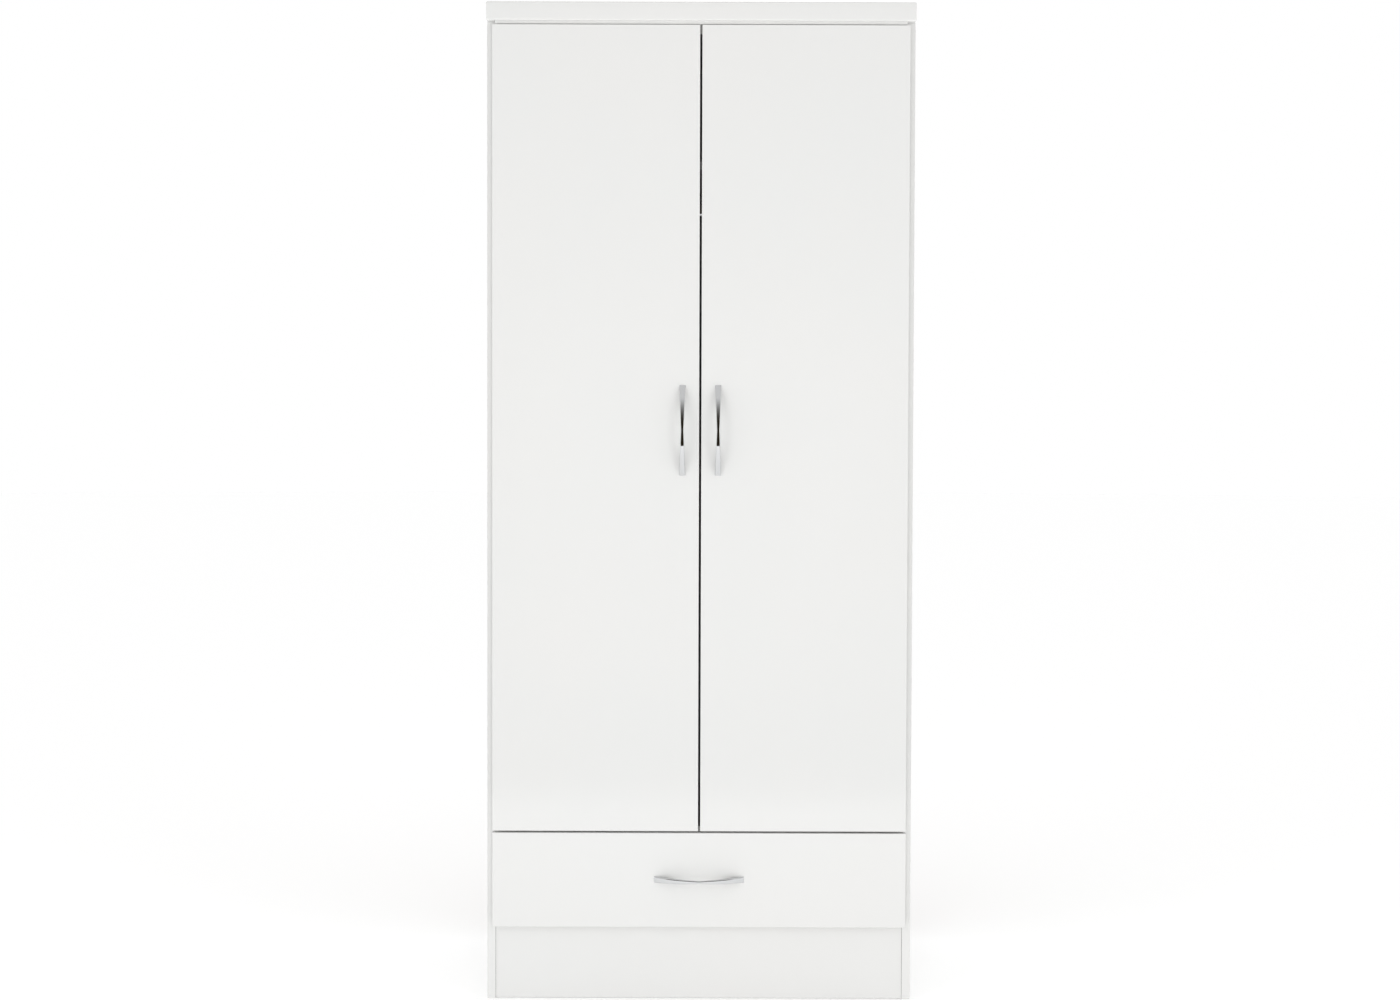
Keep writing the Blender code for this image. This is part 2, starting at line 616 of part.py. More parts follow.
def build_drawer(skins):
    middle_z = DRAWER_FRONT_LOW + DRAWER_FRONT_HEIGHT / 2
    empty = axis_empty("drawer_axis", (0, FACE_BACK, middle_z))
    front = board(
        "drawer_front",
        (-FACE_EDGE, FACE, DRAWER_FRONT_LOW),
        (FACE_EDGE, FACE_BACK, DRAWER_FRONT_TOP),
        skins["white"],
        empty,
    )
    groove_x = DRAWER_INNER + GROOVE_DEPTH
    groove = (2 * groove_x, 2 * GROOVE_DEPTH, SHEET + 2 * GAP)
    cut(front, box_mesh("groove", groove), (0, FACE_BACK, BASE_LOW + SHEET / 2))
    fit_handle("drawer_handle", front, (0, middle_z + DRAWER_HANDLE_RISE), False, empty, skins)
    for side, sign in SIDES.items():
        inner, outer = sorted((sign * DRAWER_INNER, sign * DRAWER_OUTER))
        low = (inner, DRAWER_BOX_FRONT, DRAWER_LOW)
        high = (outer, DRAWER_BOX_REAR, DRAWER_SIDE_TOP)
        wall = board(f"drawer_side_{side}", low, high, skins["white"], empty)
        groove = (2 * GROOVE_DEPTH, 2 * CARCASS_DEPTH, SHEET + 2 * GAP)
        middle = (DRAWER_BOX_FRONT + DRAWER_BOX_REAR) / 2
        cut(wall, box_mesh("groove", groove), (sign * DRAWER_INNER, middle, BASE_LOW + SHEET / 2))
    end = DRAWER_INNER - GAP
    rear = DRAWER_BOX_REAR
    low, high = (-end, rear - DRAWER_BOARD, BASE_TOP + GAP), (end, rear, DRAWER_SIDE_TOP)
    board("drawer_back", low, high, skins["white"], empty)
    edge = groove_x - GAP
    low, high = (-edge, FACE_BACK - GROOVE_DEPTH + GAP, BASE_LOW), (edge, rear, BASE_TOP)
    board("drawer_base", low, high, skins["hardboard"], empty)
    return empty


def build_runners(skins, drawer):
    """Steel channels on the side panels, steel tongues on the drawer, and a nylon roller on each."""
    front, rear = RUNNER_FRONT, RUNNER_REAR
    channel_lip = DRAWER_OUTER + GAP + RUNNER_WALL + LIP_PLAY
    for side, sign in SIDES.items():
        wall = INNER - GAP
        back = wall - RUNNER_WALL
        channel = [
            (wall, CHANNEL_LOW),
            (channel_lip, CHANNEL_LOW),
            (channel_lip, CHANNEL_LOW + RUNNER_WALL),
            (back, CHANNEL_LOW + RUNNER_WALL),
            (back, CHANNEL_TOP - RUNNER_WALL),
            (channel_lip, CHANNEL_TOP - RUNNER_WALL),
            (channel_lip, CHANNEL_TOP),
            (wall, CHANNEL_TOP),
        ]
        web = DRAWER_OUTER + GAP
        web_out = web + RUNNER_WALL
        tongue_end = back - 2 * GAP
        tab_low = ROLLER_Z - AXLE_RADIUS - TAB_MARGIN
        tongue = [
            (web, TONGUE_LOW),
            (tongue_end, TONGUE_LOW),
            (tongue_end, TONGUE_LOW + RUNNER_WALL),
            (web_out, TONGUE_LOW + RUNNER_WALL),
            (web_out, TONGUE_LOW + DRAWER_WEB_HEIGHT),
            (web, TONGUE_LOW + DRAWER_WEB_HEIGHT),
        ]
        roller_inner = back - GAP - ROLLER_WIDTH
        roller_x = sign * (roller_inner + ROLLER_WIDTH / 2)

        channel_mesh = prism_mesh("channel", [(sign * x, z) for x, z in channel], front, rear, "Y")
        axle_end = roller_inner - GAP
        fixed_axle = cylinder_mesh("axle", AXLE_RADIUS, back + RUNNER_WALL / 2 - axle_end, "X", 16)
        fixed_x = sign * (back + RUNNER_WALL / 2 + axle_end) / 2
        steps = [("UNION", fixed_axle, (fixed_x, FRONT_ROLLER_Y, ROLLER_Z))]
        mesh = combined(f"cabinet_runner_{side}", channel_mesh, steps)
        link(f"cabinet_runner_{side}", mesh, skins["steel"], (0, 0, 0))

        tongue_mesh = prism_mesh("tongue", [(sign * x, z) for x, z in tongue], front, rear, "Y")
        tab_height = TONGUE_LOW + RUNNER_WALL - tab_low
        tab = box_mesh("tab", (RUNNER_WALL, 2 * REAR_ROLLER_INSET, tab_height))
        tab_x = sign * (web + RUNNER_WALL / 2)
        axle_length = back - GAP - web - RUNNER_WALL / 2
        axle = cylinder_mesh("axle", AXLE_RADIUS, axle_length, "X", 16)
        axle_x = sign * (back - GAP - axle_length / 2)
        steps = [
            ("UNION", tab, (tab_x, REAR_ROLLER_Y, tab_low + tab_height / 2)),
            ("UNION", axle, (axle_x, REAR_ROLLER_Y, ROLLER_Z)),
        ]
        mesh = combined(f"drawer_runner_{side}", tongue_mesh, steps)
        link(f"drawer_runner_{side}", mesh, skins["steel"], (0, 0, 0), drawer)

        for name, place in (("cabinet", FRONT_ROLLER_Y), ("drawer", REAR_ROLLER_Y)):
            centre = (roller_x, place, ROLLER_Z)
            axis = axis_empty(f"{name}_roller_{side}_axis", centre)
            rim = cylinder_mesh("rim", ROLLER_RADIUS, ROLLER_WIDTH, "X", 32)
            bore = cylinder_mesh("bore", AXLE_RADIUS + GAP, 2 * ROLLER_WIDTH, "X", 16)
            roller = combined(f"{name}_roller_{side}", rim, [("DIFFERENCE", bore, (0, 0, 0))])
            link(f"{name}_roller_{side}", roller, skins["nylon"], centre, axis, smooth=True)


def main():
    clear_scene()
    skins = {
        "white": material("white_gloss_board", (0.84, 0.84, 0.83), 0.12),
        "hardboard": material("white_hardboard", (0.78, 0.78, 0.76), 0.45),
        "plastic": material("white_plastic_strip", (0.80, 0.80, 0.79), 0.40),
        "chrome": material("polished_chrome", (0.80, 0.80, 0.81), 0.06, 1.0),
        "steel": material("bright_zinc_steel", (0.62, 0.62, 0.62), 0.30, 1.0),
        "nylon": material("white_nylon", (0.75, 0.75, 0.73), 0.40),
    }
    build_sides(skins)
    build_boards(skins)
    build_back(skins)
    build_rail(skins)
    build_shelf_supports(skins)
    doors = {side: build_door(side, skins) for side in SIDES}
    build_hinges(skins, doors)
    build_runners(skins, build_drawer(skins))


main()
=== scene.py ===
"""White two-door wardrobe with a drawer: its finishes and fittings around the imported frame."""

import json
import math

import bmesh
import bpy
from mathutils import Matrix, Vector


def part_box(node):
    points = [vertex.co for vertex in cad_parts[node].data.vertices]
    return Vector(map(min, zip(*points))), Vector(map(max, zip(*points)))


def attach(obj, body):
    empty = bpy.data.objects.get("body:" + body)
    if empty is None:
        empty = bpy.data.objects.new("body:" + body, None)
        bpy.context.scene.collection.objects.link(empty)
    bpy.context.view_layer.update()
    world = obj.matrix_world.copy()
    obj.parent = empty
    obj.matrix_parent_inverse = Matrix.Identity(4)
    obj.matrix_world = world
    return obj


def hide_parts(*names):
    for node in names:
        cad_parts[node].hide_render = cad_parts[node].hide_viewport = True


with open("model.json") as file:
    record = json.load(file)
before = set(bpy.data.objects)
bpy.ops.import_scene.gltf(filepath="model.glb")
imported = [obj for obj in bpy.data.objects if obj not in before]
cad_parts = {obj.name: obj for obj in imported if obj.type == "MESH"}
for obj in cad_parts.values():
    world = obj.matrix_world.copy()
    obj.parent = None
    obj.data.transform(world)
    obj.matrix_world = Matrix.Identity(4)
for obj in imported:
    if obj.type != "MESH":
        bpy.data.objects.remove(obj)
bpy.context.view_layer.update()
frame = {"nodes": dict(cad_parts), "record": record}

MM = 0.001
WELD = 0.001 * MM
GAP = 0.3 * MM  # between faces that touch
SHARP_ANGLE = math.radians(35)
ARRIS_ANGLE = math.radians(50)
RIM_ANGLE = 1.4  # radians, between a plate's flat and its rim
SIDES = {"left": -1, "right": 1}
TO_MIDDLE = {"left": Vector((1, 0, 0)), "right": Vector((-1, 0, 0))}
UP = Vector((0, 0, 1))
DOWN = Vector((0, 0, -1))
REARWARD = Vector((0, 1, 0))

# Faces of the boards, read from the frame
SIDE_LOW, SIDE_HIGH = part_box("right_side_panel")
DOOR_LOW, DOOR_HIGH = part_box("right_door_panel")
INNER_TOP_LOW, INNER_TOP_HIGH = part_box("inner_top_panel")
DIVIDER_LOW, DIVIDER_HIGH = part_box("divider_panel")
BOTTOM_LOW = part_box("bottom_panel")[0]
PLINTH_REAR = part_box("plinth")[1][1]
SHEET_LOW, SHEET_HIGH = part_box("back_panel_right")
DRAWER_SIDE_LOW, DRAWER_SIDE_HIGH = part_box("drawer_side_right")
DRAWER_BACK_LOW, DRAWER_BACK_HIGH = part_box("drawer_back")
DRAWER_BASE_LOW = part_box("drawer_base")[0]
RUNNER_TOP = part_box("drawer_runner_right")[1][2]
INNER = SIDE_LOW[0]
CARCASS_FRONT = SIDE_LOW[1]
FACE = DOOR_LOW[1]
FACE_BACK = DOOR_HIGH[1]

# Camera
CAMERA_DISTANCE = 4.0  # in front of the side panels' edges
CAMERA_HEIGHT = 1.040
CAMERA_PITCH = math.radians(1.947)
CAMERA_ROLL = math.radians(0.17)
LENS_MM = 57.25
SENSOR_MM = 36.0
VIEW_LIMIT = 60.0

# Studio
SOFTBOX_AZIMUTH = 36  # degrees from straight ahead
SOFTBOX_DISTANCE = 2.2
SOFTBOX_HEIGHT = 1.3
SOFTBOX_SIZE = 0.6
SOFTBOX_POWER = 3.0
FILL_DISTANCE = 3.4
FILL_HEIGHT = 0.8
FILL_SIZE = 1.2
FILL_POWER = 20.0
SURROUND_STRENGTH = 0.84
FLOOR_GLOW = 0.2
FLOOR_RADIUS = 30.0
DARK_STRENGTH = 0.03
# The surround's dark window behind the camera: parts of a unit vector, from full dark to none
DARK_HALF_WIDTH = (0.36, 0.46)
DARK_TOP = (0.36, 0.80)
DARK_DEPTH = (-0.1, 0.0)
CARD_DISTANCE = 2.2
CARD_HALF_WIDTH = (2.2, 3.4)  # from full dark to none
CARD_TOP = (1.5, 4.2)

# Bow handles
HANDLE_LENGTH = 162 * MM
ARCH_LENGTH = 114 * MM
HANDLE_REACH = 27.9 * MM
ARCH_REACH = 21 * MM
HANDLE_WAIST = 4.4 * MM
HANDLE_SWELL = 6.6 * MM
SWELL_POWER = 0.9
HANDLE_FLARE = 2.2 * MM
FLARE_POWER = 45
HANDLE_SQUARENESS = 0.30  # power of the round section, smaller is squarer
FOOT_SQUARING = 0.05  # taken off it at the feet
SQUARING_POWER = 6
POLE_WELD = 0.01 * MM
HANDLE_STATIONS = 72
HANDLE_SIDES = 40

# Patterns
COLOURS = {"data_type": "RGBA"}  # what a Mix node mixes
USUAL = {"From_Min": 0.3, "From_Max": 0.7}  # where most of a noise lies
WAVE = math.pi / 10  # the scale of a Wave node whose bands are 1 m apart

# Hinges, measured from the pivot: across to the door's middle, then back into the wardrobe
PIVOT_ACROSS = 7.2 * MM
PIVOT_OUT = 7.5 * MM
HINGE_HEIGHTS = [sum(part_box(f"hinge_cup_left_{n}"), Vector())[2] / 2 for n in (1, 2, 3)]
PIVOT_X = DOOR_HIGH[0] - PIVOT_ACROSS
PIVOT_Y = FACE_BACK - PIVOT_OUT
CUP_MIDDLE = 13.3 * MM
PLATE_SETBACK = 18 * MM

# Boards and fittings
TOP_ARRIS = 2.5 * MM
FRONT_ARRIS = 0.8 * MM
BOARD_ARRIS = 0.5 * MM
STEEL_ARRIS = 0.25 * MM
HALF_SHEET = 1.5 * MM
LIP_SETBACK = 4 * MM
LIP_OVERLAP = 5 * MM  # into the slab above it
CAM_INSET = 34 * MM  # from the board that its bolt is screwed into
CAM_END = 50 * MM  # from the side panels' front edges, or from the back sheets
TOP_CAM_DROP = 19 * MM  # below the inner top
PLINTH_CAM_LEVELS = (35 * MM, 105 * MM)
DRAWER_CAM_LEVELS = (205 * MM, 255 * MM)
DRAWER_BACK_SCREW_LEVELS = (215 * MM, 262 * MM)
RUNNER_WEB = 1.5 * MM  # drawer side to the runner's outer face
RUNNER_SCREW_ROWS = (-180 * MM, -20 * MM, 140 * MM)
RUNNER_SCREW_DROP = 6.5 * MM
NAIL_INSET = 6.5 * MM
NAIL_END = 7.5 * MM
NAIL_SPACES = 14
NAIL_STEP = 88 * MM
NAIL_FROM_MIDDLE = 22 * MM
PLINTH_BLOCK_LEVELS = (48 * MM, 92 * MM)
PLINTH_BLOCK_HEIGHT = 18 * MM
BUMPER_IN = 14 * MM  # from the wardrobe's middle
BUMPER_BELOW = 2.9 * MM  # under the divider's upper face
BUMPER_ABOVE = 4.2 * MM  # over the inner top's underside


# Shapes


def turned(profile, sides=32):
    """A solid turned about Z from (radius, along) points that start and end on the axis."""
    shape = bmesh.new()
    corners = [shape.verts.new((radius, 0, along)) for radius, along in profile]
    lines = [shape.edges.new(pair) for pair in zip(corners, corners[1:])]
    geom = corners + lines
    bmesh.ops.spin(shape, geom=geom, axis=UP, steps=sides, angle=2 * math.pi, use_merge=True)
    return shape


def in_mm(points):
    """Points that are given in millimetres, in metres."""
    return [tuple(value * MM for value in point) for point in points]


def rod(radius, half_length, sides):
    """A round bar along Z about its middle."""
    profile = [(0, -half_length), (radius, -half_length), (radius, half_length), (0, half_length)]
    return turned(profile, sides)


def ease(shape, edges, width, segments=2):
    bmesh.ops.bevel(
        shape, geom=edges, offset=width, segments=segments, profile=0.5, affect="EDGES", material=-1
    )


def plate(outline, thickness, arris=0.0):
    """A flat plate on X and Y from (x, y, corner radius) points, with its rims eased."""
    shape = bmesh.new()
    face = shape.faces.new([shape.verts.new((x, y, 0)) for x, y, _ in outline])
    raised = bmesh.ops.extrude_face_region(shape, geom=[face])["geom"]
    bmesh.ops.translate(
        shape, vec=UP * thickness, verts=[part for part in raised if isinstance(part, bmesh.types.BMVert)]
    )
    for radius in sorted({radius for _, _, radius in outline if radius}):
        spots = [Vector((x, y)) for x, y, corner in outline if corner == radius]
        upright = [
            edge
            for edge in shape.edges
            if (edge.verts[0].co.xy - edge.verts[1].co.xy).length < WELD
            and any((edge.verts[0].co.xy - spot).length < WELD for spot in spots)
        ]
        ease(shape, upright, radius, 6)
    if arris:
        joints = [edge for edge in shape.edges if len(edge.link_faces) == 2]
        rims = [edge for edge in joints if edge.calc_face_angle(0) > RIM_ANGLE]
        ease(shape, rims, arris)
    return shape


def block(size, arris, segments=2):
    """A rounded block standing on X and Y."""
    shape = bmesh.new()
    bmesh.ops.create_cube(shape, size=1.0, matrix=Matrix.Translation((0, 0, 0.5)))
    bmesh.ops.scale(shape, vec=size, verts=shape.verts)
    ease(shape, list(shape.edges), arris, segments)
    return shape


def moved(shape, matrix):
    bmesh.ops.transform(shape, matrix=matrix, verts=shape.verts)
    return shape


def as_mesh(shape, name="part"):
    """A mesh from a bmesh, with its doubles merged and its faces pointing outwards."""
    bmesh.ops.remove_doubles(shape, verts=shape.verts, dist=WELD)
    bmesh.ops.recalc_face_normals(shape, faces=shape.faces)
    mesh = bpy.data.meshes.new(name)
    shape.to_mesh(mesh)
    shape.free()
    return mesh


def worked(shape, steps):
    """A shape after (operation, shape) steps, each an exact Boolean."""
    whole = bpy.data.objects.new("whole", as_mesh(shape))
    bpy.context.scene.collection.objects.link(whole)
    helpers = [whole]
    for operation, other in steps:
        helper = bpy.data.objects.new("helper", as_mesh(other))
        bpy.context.scene.collection.objects.link(helper)
        helpers.append(helper)
        step = whole.modifiers.new("step", "BOOLEAN")
        step.operation, step.solver, step.object = operation, "EXACT", helper
    bpy.context.view_layer.update()
    result = bmesh.new()
    result.from_object(whole, bpy.context.evaluated_depsgraph_get())
    for helper in helpers:
        bpy.data.objects.remove(helper, do_unlink=True)
    return result


def repeated(shape, matrices):
    """One bmesh with a copy of the shape at each place."""
    pattern = as_mesh(shape)
    every = bmesh.new()
    for matrix in matrices:
        before = len(every.verts)
        every.from_mesh(pattern)
        every.verts.ensure_lookup_table()
        bmesh.ops.transform(every, matrix=matrix, verts=every.verts[before:])
    return every


def joined(shapes):
    every = bmesh.new()
    for shape in shapes:
        every.from_mesh(as_mesh(shape))
    return every


def standing(place, out, up=UP):
    """Stands a shape made on X and Y at a place, its Z pointing out of the surface."""
    out, up = Vector(out), Vector(up)
    turn = Matrix((up.cross(out), up, out)).transposed()
    return Matrix.Translation(place) @ turn.to_4x4()


def add_piece(name, shape, body, skin, stands_for=()):
    """A finished piece that rides on a body, from a shape that is already in place."""
    mesh = as_mesh(shape, name)
    mesh.materials.append(skin)
    mesh.shade_smooth()
    mesh.set_sharp_from_angle(angle=SHARP_ANGLE)
    piece = bpy.data.objects.new(name, mesh)
    bpy.context.scene.collection.objects.link(piece)
    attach(piece, body)
    if stands_for:
        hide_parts(*stands_for)
    return piece


def soften(node, width, segments=2):
    """Eases the arrises of a board or a pressed part of the frame."""
    piece = frame["nodes"][node]
    weld = piece.modifiers.new("weld", "WELD")
    weld.merge_threshold = WELD
    arris = piece.modifiers.new("arris", "BEVEL")
    arris.width = width
    arris.segments = segments
    arris.limit_method = "ANGLE"
    arris.angle_limit = ARRIS_ANGLE


# Finishes


def linear(colour):
    """A linear RGBA from an sRGB hex colour such as "#F4F4F2"."""
    channels = [int(colour[start : start + 2], 16) / 255 for start in (1, 3, 5)]
    return (*[c / 12.92 if c <= 0.04045 else ((c + 0.055) / 1.055) ** 2.4 for c in channels], 1.0)


def add_node(tree, kind, settings=None, **inputs):
    """A node with its settings and inputs. An input goes by its name, or by _number where two
    share a name, and takes a value, a socket, or a node, whose first live output it is linked to."""
    node = tree.nodes.new(kind)
    for name, value in (settings or {}).items():
        setattr(node, name, value)
    for name, value in inputs.items():
        live = [socket for socket in node.inputs if socket.enabled]
        number = int(name[1:]) if name[0] == "_" else [s.name for s in live].index(name.replace("_", " "))
        if isinstance(value, bpy.types.Node):
            value = next(socket for socket in value.outputs if socket.enabled)
        if isinstance(value, bpy.types.NodeSocket):
            tree.links.new(value, live[number])
        else:
            live[number].default_value = value
    return node


def new_finish(name):
    """A material with an empty node tree, and the coordinates that its patterns read."""
    finish = bpy.data.materials.new(name)
    finish.use_nodes = True
    finish.node_tree.nodes.clear()
    place = add_node(finish.node_tree, "ShaderNodeTexCoord").outputs["Object"]
    return finish, finish.node_tree, place


def gloss_foil(name, satin_back):
    """High-gloss foil pressed on smooth board: a clear mirror skin over white, with a faint
    orange peel and a hardly seen unevenness of tone. A front's back is satin melamine."""
    finish, tree, place = new_finish(name)
    tone = add_node(tree, "ShaderNodeTexNoise", Vector=place, Scale=1 / (350 * MM))
    white = add_node(
        tree, "ShaderNodeMix", COLOURS, Factor=tone, A=linear("#E8E9E8"), B=linear("#EBEAE8")
    )
    touched = add_node(tree, "ShaderNodeTexNoise", Vector=place, Scale=1 / (60 * MM))
    gloss = add_node(tree, "ShaderNodeMapRange", Value=touched, **USUAL, To_Min=0.08, To_Max=0.13)
    if satin_back:
        depth = add_node(tree, "ShaderNodeSeparateXYZ", Vector=place).outputs["Y"]
        start, end = FACE_BACK - 0.6 * MM, FACE_BACK - 0.4 * MM
        gloss = add_node(
            tree, "ShaderNodeMapRange", Value=depth, From_Min=start, From_Max=end, To_Min=gloss, To_Max=0.32
        )
    # Orange peel of a pressed foil, about 6 mm from crest to crest
    peel = add_node(tree, "ShaderNodeTexNoise", Vector=place, Scale=1 / (6 * MM), Detail=0.0)
    bump = add_node(tree, "ShaderNodeBump", Height=peel, Distance=0.005 * MM)
    shader = add_node(
        tree, "ShaderNodeBsdfPrincipled", Base_Color=white, Roughness=gloss, IOR=1.50, Normal=bump
    )
    add_node(tree, "ShaderNodeOutputMaterial", Surface=shader)
    return finish


def melamine():
    """White melamine paper pressed on particle board: satin, with a fine pearl grain."""
    finish, tree, place = new_finish("white_melamine_on_particle_board")
    tone = add_node(tree, "ShaderNodeTexNoise", Vector=place, Scale=1 / (250 * MM))
    white = add_node(
        tree, "ShaderNodeMix", COLOURS, Factor=tone, A=linear("#E5E5E2"), B=linear("#E8E8E5")
    )
    touched = add_node(tree, "ShaderNodeTexNoise", Vector=place, Scale=1 / (40 * MM))
    satin = add_node(tree, "ShaderNodeMapRange", Value=touched, **USUAL, To_Min=0.32, To_Max=0.42)
    # The pearl grain is 0.6 mm in the board and is drawn at 1.8 mm so that it shows
    grain = add_node(tree, "ShaderNodeTexNoise", Vector=place, Scale=1 / (1.8 * MM), Detail=1.0)
    bump = add_node(tree, "ShaderNodeBump", Height=grain, Distance=0.03 * MM)
    shader = add_node(
        tree, "ShaderNodeBsdfPrincipled", Base_Color=white, Roughness=satin, IOR=1.52, Normal=bump
    )
    add_node(tree, "ShaderNodeOutputMaterial", Surface=shader)
    return finish


def hardboard(name, axis, turn_at, raw_above):
    """Wet-pressed wood fibre: brown and fibrous with a wire-screen print where it is raw, and
    a satin white lacquer over the pressed side."""
    finish, tree, place = new_finish(name)
    depth = add_node(tree, "ShaderNodeSeparateXYZ", Vector=place).outputs[axis]
    first, last = (0.0, 1.0) if raw_above else (1.0, 0.0)
    start, end = turn_at - 0.1 * MM, turn_at + 0.1 * MM
    raw = add_node(
        tree, "ShaderNodeMapRange", Value=depth, From_Min=start, From_Max=end, To_Min=first, To_Max=last
    )
    clouds = add_node(tree, "ShaderNodeTexNoise", Vector=place, Scale=1 / (180 * MM), Detail=3.0)
    brown = add_node(
        tree, "ShaderNodeMix", COLOURS, Factor=clouds, A=linear("#7A6047"), B=linear("#8B7053")
    )
    # Fibre bundles are 1 mm wide in the sheet and are drawn at 5 mm, matted together, so that they show
    fibres = add_node(
        tree, "ShaderNodeTexNoise", Vector=place, Scale=1 / (5 * MM), Detail=4.0, Distortion=2.5
    )
    fleck = add_node(
        tree, "ShaderNodeMapRange", Value=fibres, From_Min=0.42, From_Max=0.68, To_Min=0.0, To_Max=0.75
    )
    flecked = add_node(tree, "ShaderNodeMix", COLOURS, Factor=fleck, A=brown, B=linear("#4E3B2A"))
    tone = add_node(tree, "ShaderNodeTexNoise", Vector=place, Scale=1 / (120 * MM))
    white = add_node(
        tree, "ShaderNodeMix", COLOURS, Factor=tone, A=linear("#E2E2DE"), B=linear("#E7E7E3")
    )
    skin = add_node(tree, "ShaderNodeMix", COLOURS, Factor=raw, A=white, B=flecked)
    rough = add_node(tree, "ShaderNodeMapRange", Value=raw, To_Min=0.42, To_Max=0.78)
    # Wire-screen print of the raw side, 1.5 mm from wire to wire, drawn at 3 mm so that it shows
    wires = [
        add_node(tree, "ShaderNodeTexWave", {"bands_direction": way}, Vector=place, Scale=WAVE / (3 * MM))
        for way in ("X", "Z" if axis == "Y" else "Y")
    ]
    screen = add_node(tree, "ShaderNodeMath", {"operation": "MULTIPLY"}, _0=wires[0], _1=wires[1])
    printed = add_node(tree, "ShaderNodeMath", {"operation": "MULTIPLY"}, _0=screen, _1=raw)
    height = add_node(tree, "ShaderNodeMath", {"operation": "ADD"}, _0=printed, _1=fibres)
    bump = add_node(tree, "ShaderNodeBump", Height=height, Distance=0.05 * MM)
    shader = add_node(
        tree, "ShaderNodeBsdfPrincipled", Base_Color=skin, Roughness=rough, IOR=1.50, Normal=bump
    )
    add_node(tree, "ShaderNodeOutputMaterial", Surface=shader)
    return finish


def pvc_strip():
    """Extruded white PVC: even satin plastic with faint draw lines along its length."""
    finish, tree, place = new_finish("extruded_white_pvc")
    drawn = add_node(tree, "ShaderNodeMapping", Vector=place, Scale=(1, 1, 1 / 200))
    lines = add_node(tree, "ShaderNodeTexNoise", Vector=drawn, Scale=1 / (1.5 * MM), Detail=1.0)
    satin = add_node(tree, "ShaderNodeMapRange", Value=lines, **USUAL, To_Min=0.28, To_Max=0.42)
    bump = add_node(tree, "ShaderNodeBump", Height=lines, Distance=0.02 * MM)
    white = linear("#E3E3DF")
    shader = add_node(
        tree, "ShaderNodeBsdfPrincipled", Base_Color=white, Roughness=satin, IOR=1.53, Normal=bump
    )
    add_node(tree, "ShaderNodeOutputMaterial", Surface=shader)
    return finish


def chrome():
    """Bright chrome plate on a polished die casting: a near mirror, a little grey and cool,
    with a haze of fine wiping marks."""
    finish, tree, place = new_finish("polished_chrome_plate")
    wiped = add_node(tree, "ShaderNodeMapping", Vector=place, Scale=(1, 1, 1 / 6))
    marks = add_node(tree, "ShaderNodeTexNoise", Vector=wiped, Scale=1 / (3 * MM), Detail=3.0)
    gloss = add_node(tree, "ShaderNodeMapRange", Value=marks, **USUAL, To_Min=0.025, To_Max=0.07)
    waves = add_node(tree, "ShaderNodeTexNoise", Vector=place, Scale=1 / (9 * MM))
    bump = add_node(tree, "ShaderNodeBump", Height=waves, Distance=0.006 * MM)
    bright = linear("#D0D1D2")
    shader = add_node(
        tree, "ShaderNodeBsdfPrincipled", Base_Color=bright, Roughness=gloss, Metallic=1.0, Normal=bump
    )
    add_node(tree, "ShaderNodeOutputMaterial", Surface=shader)
    return finish


def zinc_steel():
    """Pressed steel with bright zinc plate: a soft cool sheen, cloudy from the plating bath."""
    finish, tree, place = new_finish("bright_zinc_plated_steel")
    clouds = add_node(tree, "ShaderNodeTexNoise", Vector=place, Scale=1 / (8 * MM), Detail=3.0)
    grey = add_node(
        tree, "ShaderNodeMix", COLOURS, Factor=clouds, A=linear("#AAB0B6"), B=linear("#BEBEBA")
    )
    sheen = add_node(tree, "ShaderNodeMapRange", Value=clouds, **USUAL, To_Min=0.22, To_Max=0.38)
    skin = add_node(tree, "ShaderNodeTexNoise", Vector=place, Scale=1 / (1.5 * MM))
    bump = add_node(tree, "ShaderNodeBump", Height=skin, Distance=0.008 * MM)
    shader = add_node(
        tree, "ShaderNodeBsdfPrincipled", Base_Color=grey, Roughness=sheen, Metallic=1.0, Normal=bump
    )
    add_node(tree, "ShaderNodeOutputMaterial", Surface=shader)
    return finish


def zinc_casting():
    """Raw die-cast zinc of the cam discs: dull grey with a grainy cast skin."""
    finish, tree, place = new_finish("die_cast_zinc")
    grain = add_node(tree, "ShaderNodeTexNoise", Vector=place, Scale=1 / (1.2 * MM), Detail=3.0)
    grey = add_node(
        tree, "ShaderNodeMix", COLOURS, Factor=grain, A=linear("#828486"), B=linear("#9A9B9C")
    )
    dull = add_node(tree, "ShaderNodeMapRange", Value=grain, **USUAL, To_Min=0.42, To_Max=0.6)
    bump = add_node(tree, "ShaderNodeBump", Height=grain, Distance=0.02 * MM)
    shader = add_node(
        tree, "ShaderNodeBsdfPrincipled", Base_Color=grey, Roughness=dull, Metallic=1.0, Normal=bump
    )
    add_node(tree, "ShaderNodeOutputMaterial", Surface=shader)
    return finish


def nylon():
    """Injection-moulded white nylon: slightly warm and waxy, with a soft spark-eroded skin."""
    finish, tree, place = new_finish("moulded_white_nylon")
    skin = add_node(tree, "ShaderNodeTexNoise", Vector=place, Scale=1 / (0.9 * MM))
    satin = add_node(tree, "ShaderNodeMapRange", Value=skin, **USUAL, To_Min=0.38, To_Max=0.5)
    bump = add_node(tree, "ShaderNodeBump", Height=skin, Distance=0.012 * MM)
    shader = add_node(
        tree,
        "ShaderNodeBsdfPrincipled",
        Base_Color=linear("#E6E4DC"),
        Roughness=satin,
        IOR=1.53,
        Normal=bump,
        Subsurface_Weight=0.08,
        Subsurface_Scale=1.0 * MM,
    )
    add_node(tree, "ShaderNodeOutputMaterial", Surface=shader)
    return finish


